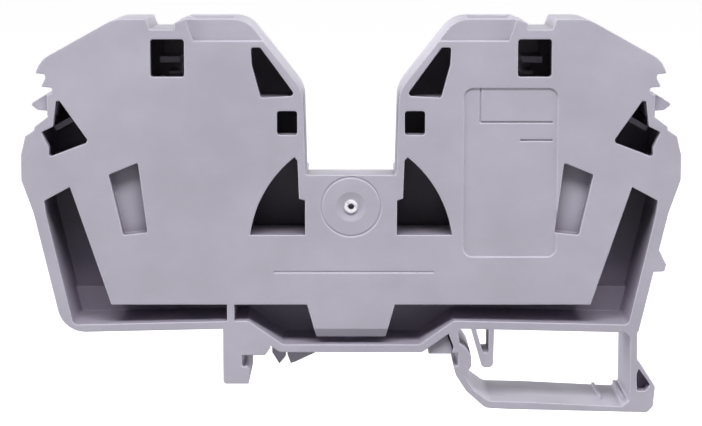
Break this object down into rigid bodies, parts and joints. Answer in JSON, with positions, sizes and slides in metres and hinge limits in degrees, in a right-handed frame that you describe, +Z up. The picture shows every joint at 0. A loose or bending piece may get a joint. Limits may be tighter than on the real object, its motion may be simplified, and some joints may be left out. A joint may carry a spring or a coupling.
{
  "type": "feed-through terminal block",
  "caption": "Rail-mounted feed-through terminal block with angled conductor entries on both towers, sprung clamp frames and a sprung latch foot.",
  "frame": {"origin": "middle of the rail seat, on the top face of the mounting rail", "axes": "+X along the conductors towards the latch side, +Y across the block's width towards the cover, +Z up from the rail"},
  "size_m": [0.1054, 0.016, 0.0635],
  "materials": {
    "housing_plastic": "light grey moulded polyamide, satin",
    "tinned_copper": "tin-plated copper",
    "plated_steel": "bright zinc plate",
    "spring_steel": "bright stainless spring strip"
  },
  "bodies": {
    "block": {"housing": "housing_plastic", "rear_cover": "housing_plastic", "current_bar": "tinned_copper", "clamp_spring_left": "spring_steel", "clamp_spring_right": "spring_steel"},
    "left_clamp": {"clamp_frame_left": "plated_steel"},
    "right_clamp": {"clamp_frame_right": "plated_steel"}
  },
  "joints": [
    {"name": "left_clamp_slide", "type": "slide", "parent": "block", "child": "left_clamp", "axis": [-0.8746, 0, -0.4848], "range_m": [0, 0.009], "stiffness_N_per_m": 2000, "deforming": ["clamp_spring_left"]},
    {"name": "right_clamp_slide", "type": "slide", "parent": "block", "child": "right_clamp", "axis": [0.8746, 0, -0.4848], "range_m": [0, 0.009], "stiffness_N_per_m": 2000, "deforming": ["clamp_spring_right"]}
  ]
}
